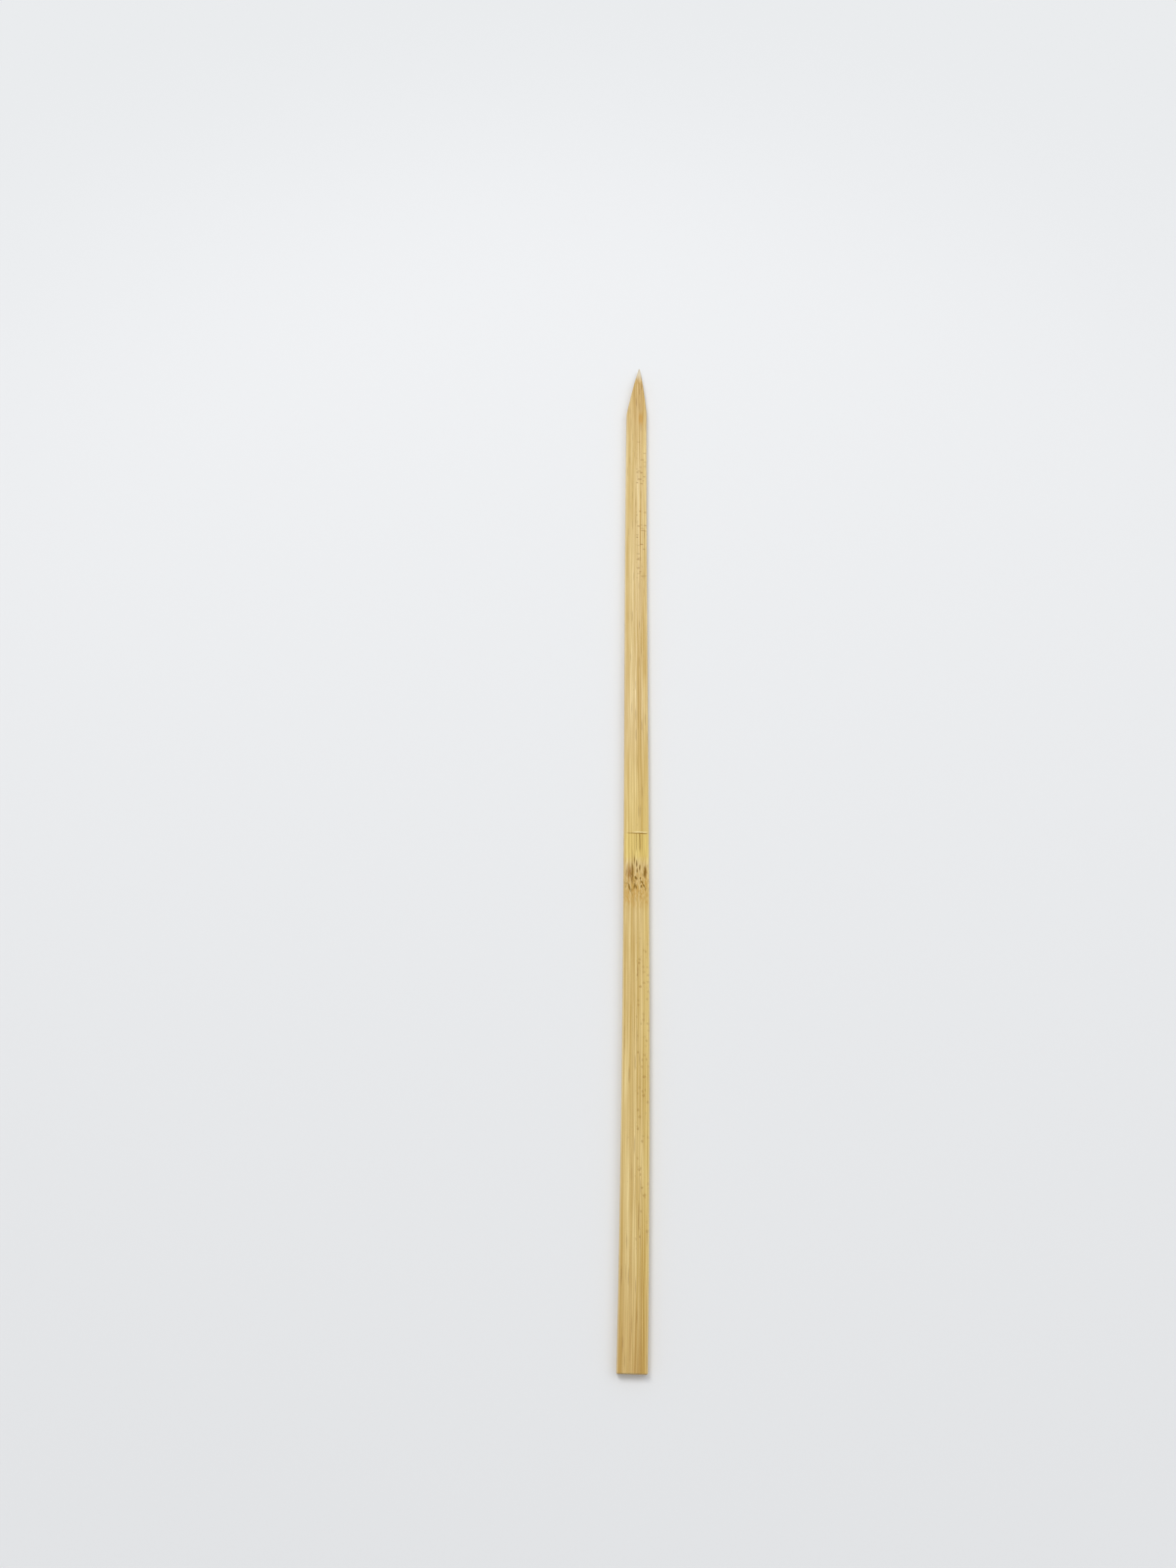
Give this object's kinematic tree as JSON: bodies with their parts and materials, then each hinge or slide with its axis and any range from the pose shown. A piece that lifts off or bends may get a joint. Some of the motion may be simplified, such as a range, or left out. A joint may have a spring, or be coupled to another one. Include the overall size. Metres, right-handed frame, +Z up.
{
  "type": "flat bamboo skewer",
  "caption": "Long flat wooden strip with eased edges, sawn square at the butt and ground to an off-centre point, for threading food over a grill.",
  "frame": {"origin": "on the surface that the strip lies on, under the middle of its bounding box", "axes": "+Y along the strip towards its point, +X across it to the side that the point leans to, +Z up through the culm's outer face"},
  "size_m": [0.0106, 0.45, 0.0033],
  "materials": {
    "bamboo": "matte"
  },
  "bodies": {
    "root": {"skewer": "bamboo"}
  },
  "joints": []
}
